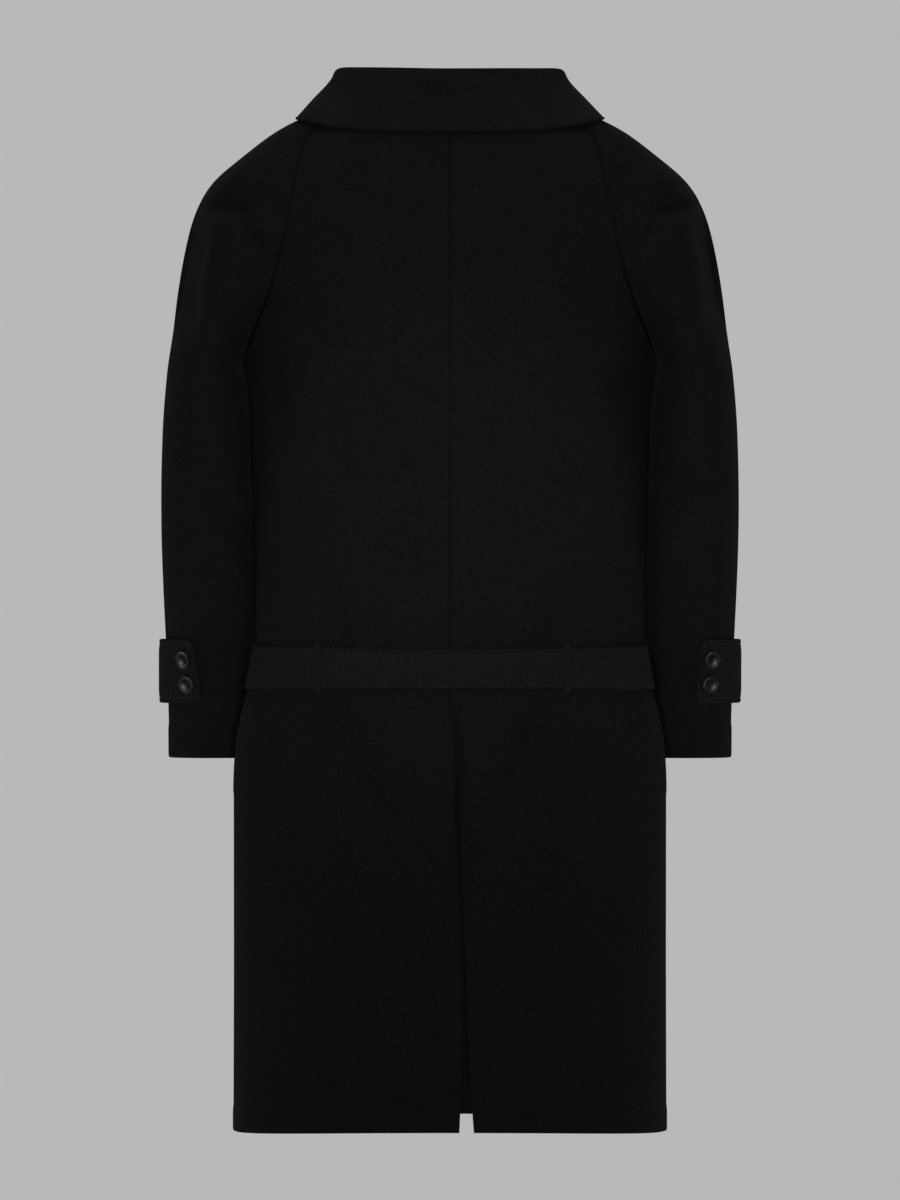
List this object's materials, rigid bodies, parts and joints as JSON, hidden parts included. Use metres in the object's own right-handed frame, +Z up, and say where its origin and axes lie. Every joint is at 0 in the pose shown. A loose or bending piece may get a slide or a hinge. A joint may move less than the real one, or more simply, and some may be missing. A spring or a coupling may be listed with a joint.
{
  "type": "belted coat",
  "caption": "Black wool coat with raglan sleeves, a turned-down collar, lapels, a double-breasted front, a waist belt, buttoned cuff straps and a back vent.",
  "frame": {"origin": "inside the coat between the shoulders, at the height of the collar's lower edge, where the wearer's shoulders carry it", "axes": "+Z up, +Y towards the coat's front, +X towards the wearer's right; the back, which the picture shows, faces -Y"},
  "size_m": [0.647, 0.285, 1.1655],
  "materials": {
    "black_wool": "thick felted black wool with a short soft nap, matt",
    "dark_metal": "dark grey metal, smooth, with a dull shine"
  },
  "bodies": {
    "root": {"back_left": "black_wool", "back_right": "black_wool", "front_left": "black_wool", "front_right": "black_wool", "sleeve_back_left": "black_wool", "sleeve_back_right": "black_wool", "sleeve_front_left": "black_wool", "sleeve_front_right": "black_wool", "lapel_left": "black_wool", "lapel_right": "black_wool", "collar": "black_wool", "belt": "black_wool", "belt_loop_left": "black_wool", "belt_loop_right": "black_wool", "cuff_strap_left": "black_wool", "cuff_strap_right": "black_wool", "buckle": "dark_metal", "cuff_button_upper_left": "dark_metal", "cuff_button_upper_right": "dark_metal", "cuff_button_lower_left": "dark_metal", "cuff_button_lower_right": "dark_metal", "front_button_top_left": "dark_metal", "front_button_top_right": "dark_metal", "front_button_middle_left": "dark_metal", "front_button_middle_right": "dark_metal", "front_button_low_left": "dark_metal", "front_button_low_right": "dark_metal"}
  },
  "joints": []
}
